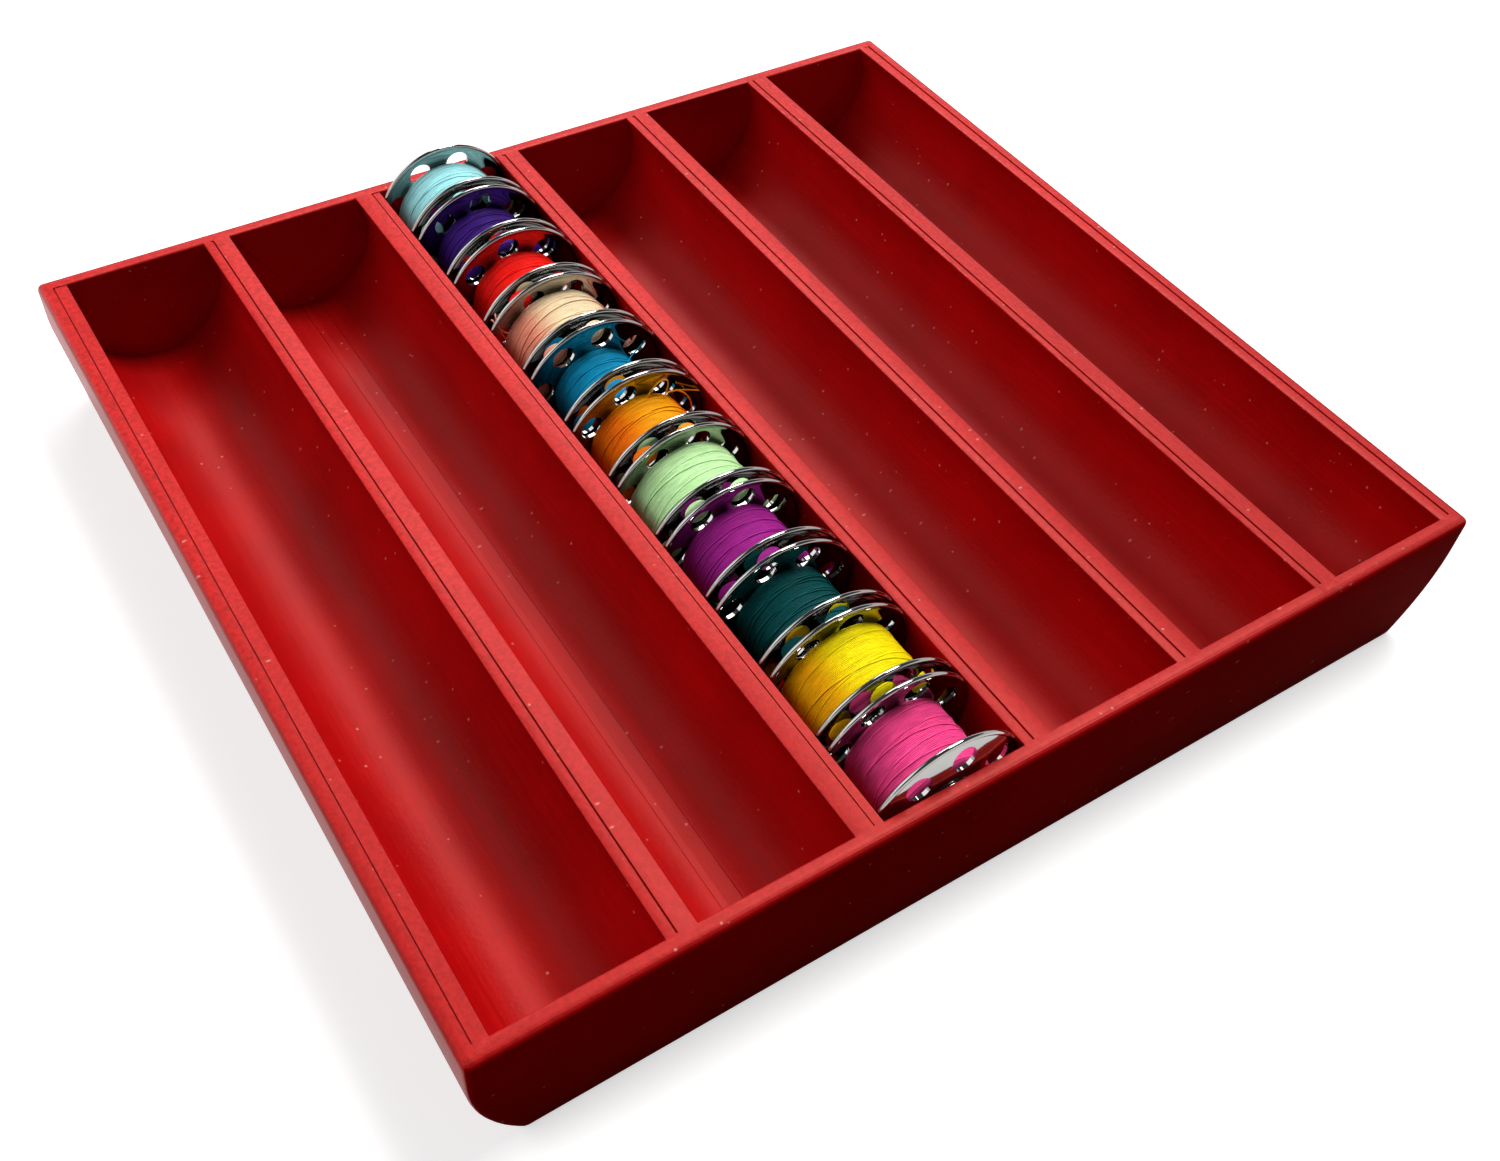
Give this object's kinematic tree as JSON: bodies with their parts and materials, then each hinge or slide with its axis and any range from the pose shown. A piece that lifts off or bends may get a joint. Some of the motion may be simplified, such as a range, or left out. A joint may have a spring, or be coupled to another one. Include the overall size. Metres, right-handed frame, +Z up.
{
  "type": "bobbin holder",
  "caption": "Flat red rubber tray with round-bottomed troughs that grip sewing machine bobbins, one trough filled with a row of wound metal bobbins in many colours.",
  "frame": {"origin": "on the surface that the tray stands on, under the middle of the tray", "axes": "+Z up, the troughs run along Y with the front end wall at -Y, and +X is to the right seen from the front"},
  "size_m": [0.1342, 0.125, 0.0242],
  "materials": {
    "tray_rubber": "satin moulded silicone",
    "bobbin_steel": "bright nickel plate",
    "pale_cyan_thread": "pale cyan sewing thread",
    "indigo_thread": "indigo sewing thread",
    "red_thread": "red sewing thread",
    "peach_thread": "peach sewing thread",
    "teal_blue_thread": "teal blue sewing thread",
    "orange_thread": "orange sewing thread",
    "mint_thread": "mint sewing thread",
    "purple_thread": "purple sewing thread",
    "dark_green_thread": "dark green sewing thread",
    "yellow_thread": "yellow sewing thread",
    "pink_thread": "pink sewing thread"
  },
  "bodies": {
    "tray": {"tray": "tray_rubber"},
    "bobbin_01": {"bobbin_01_back_flange": "bobbin_steel", "bobbin_01_front_flange": "bobbin_steel", "bobbin_01_core": "bobbin_steel", "bobbin_01_thread": "pale_cyan_thread", "bobbin_01_outer_turns": "pale_cyan_thread"},
    "bobbin_02": {"bobbin_02_back_flange": "bobbin_steel", "bobbin_02_front_flange": "bobbin_steel", "bobbin_02_core": "bobbin_steel", "bobbin_02_thread": "indigo_thread", "bobbin_02_outer_turns": "indigo_thread"},
    "bobbin_03": {"bobbin_03_back_flange": "bobbin_steel", "bobbin_03_front_flange": "bobbin_steel", "bobbin_03_core": "bobbin_steel", "bobbin_03_thread": "red_thread", "bobbin_03_outer_turns": "red_thread"},
    "bobbin_04": {"bobbin_04_back_flange": "bobbin_steel", "bobbin_04_front_flange": "bobbin_steel", "bobbin_04_core": "bobbin_steel", "bobbin_04_thread": "peach_thread", "bobbin_04_outer_turns": "peach_thread"},
    "bobbin_05": {"bobbin_05_back_flange": "bobbin_steel", "bobbin_05_front_flange": "bobbin_steel", "bobbin_05_core": "bobbin_steel", "bobbin_05_thread": "teal_blue_thread", "bobbin_05_outer_turns": "teal_blue_thread"},
    "bobbin_06": {"bobbin_06_back_flange": "bobbin_steel", "bobbin_06_front_flange": "bobbin_steel", "bobbin_06_core": "bobbin_steel", "bobbin_06_thread": "orange_thread", "bobbin_06_outer_turns": "orange_thread"},
    "bobbin_07": {"bobbin_07_back_flange": "bobbin_steel", "bobbin_07_front_flange": "bobbin_steel", "bobbin_07_core": "bobbin_steel", "bobbin_07_thread": "mint_thread", "bobbin_07_outer_turns": "mint_thread"},
    "bobbin_08": {"bobbin_08_back_flange": "bobbin_steel", "bobbin_08_front_flange": "bobbin_steel", "bobbin_08_core": "bobbin_steel", "bobbin_08_thread": "purple_thread", "bobbin_08_outer_turns": "purple_thread"},
    "bobbin_09": {"bobbin_09_back_flange": "bobbin_steel", "bobbin_09_front_flange": "bobbin_steel", "bobbin_09_core": "bobbin_steel", "bobbin_09_thread": "dark_green_thread", "bobbin_09_outer_turns": "dark_green_thread"},
    "bobbin_10": {"bobbin_10_back_flange": "bobbin_steel", "bobbin_10_front_flange": "bobbin_steel", "bobbin_10_core": "bobbin_steel", "bobbin_10_thread": "yellow_thread", "bobbin_10_outer_turns": "yellow_thread"},
    "bobbin_11": {"bobbin_11_back_flange": "bobbin_steel", "bobbin_11_front_flange": "bobbin_steel", "bobbin_11_core": "bobbin_steel", "bobbin_11_thread": "pink_thread", "bobbin_11_outer_turns": "pink_thread"}
  },
  "joints": [
    {"name": "bobbin_01_lift", "type": "slide", "parent": "tray", "child": "bobbin_01", "axis": [0, 0, 1], "range_m": [0, 0.03], "deforming": ["tray"]},
    {"name": "bobbin_02_lift", "type": "slide", "parent": "tray", "child": "bobbin_02", "axis": [0, 0, 1], "range_m": [0, 0.03], "deforming": ["tray"]},
    {"name": "bobbin_03_lift", "type": "slide", "parent": "tray", "child": "bobbin_03", "axis": [0, 0, 1], "range_m": [0, 0.03], "deforming": ["tray"]},
    {"name": "bobbin_04_lift", "type": "slide", "parent": "tray", "child": "bobbin_04", "axis": [0, 0, 1], "range_m": [0, 0.03], "deforming": ["tray"]},
    {"name": "bobbin_05_lift", "type": "slide", "parent": "tray", "child": "bobbin_05", "axis": [0, 0, 1], "range_m": [0, 0.03], "deforming": ["tray"]},
    {"name": "bobbin_06_lift", "type": "slide", "parent": "tray", "child": "bobbin_06", "axis": [0, 0, 1], "range_m": [0, 0.03], "deforming": ["tray"]},
    {"name": "bobbin_07_lift", "type": "slide", "parent": "tray", "child": "bobbin_07", "axis": [0, 0, 1], "range_m": [0, 0.03], "deforming": ["tray"]},
    {"name": "bobbin_08_lift", "type": "slide", "parent": "tray", "child": "bobbin_08", "axis": [0, 0, 1], "range_m": [0, 0.03], "deforming": ["tray"]},
    {"name": "bobbin_09_lift", "type": "slide", "parent": "tray", "child": "bobbin_09", "axis": [0, 0, 1], "range_m": [0, 0.03], "deforming": ["tray"]},
    {"name": "bobbin_10_lift", "type": "slide", "parent": "tray", "child": "bobbin_10", "axis": [0, 0, 1], "range_m": [0, 0.03], "deforming": ["tray"]},
    {"name": "bobbin_11_lift", "type": "slide", "parent": "tray", "child": "bobbin_11", "axis": [0, 0, 1], "range_m": [0, 0.03], "deforming": ["tray"]}
  ]
}
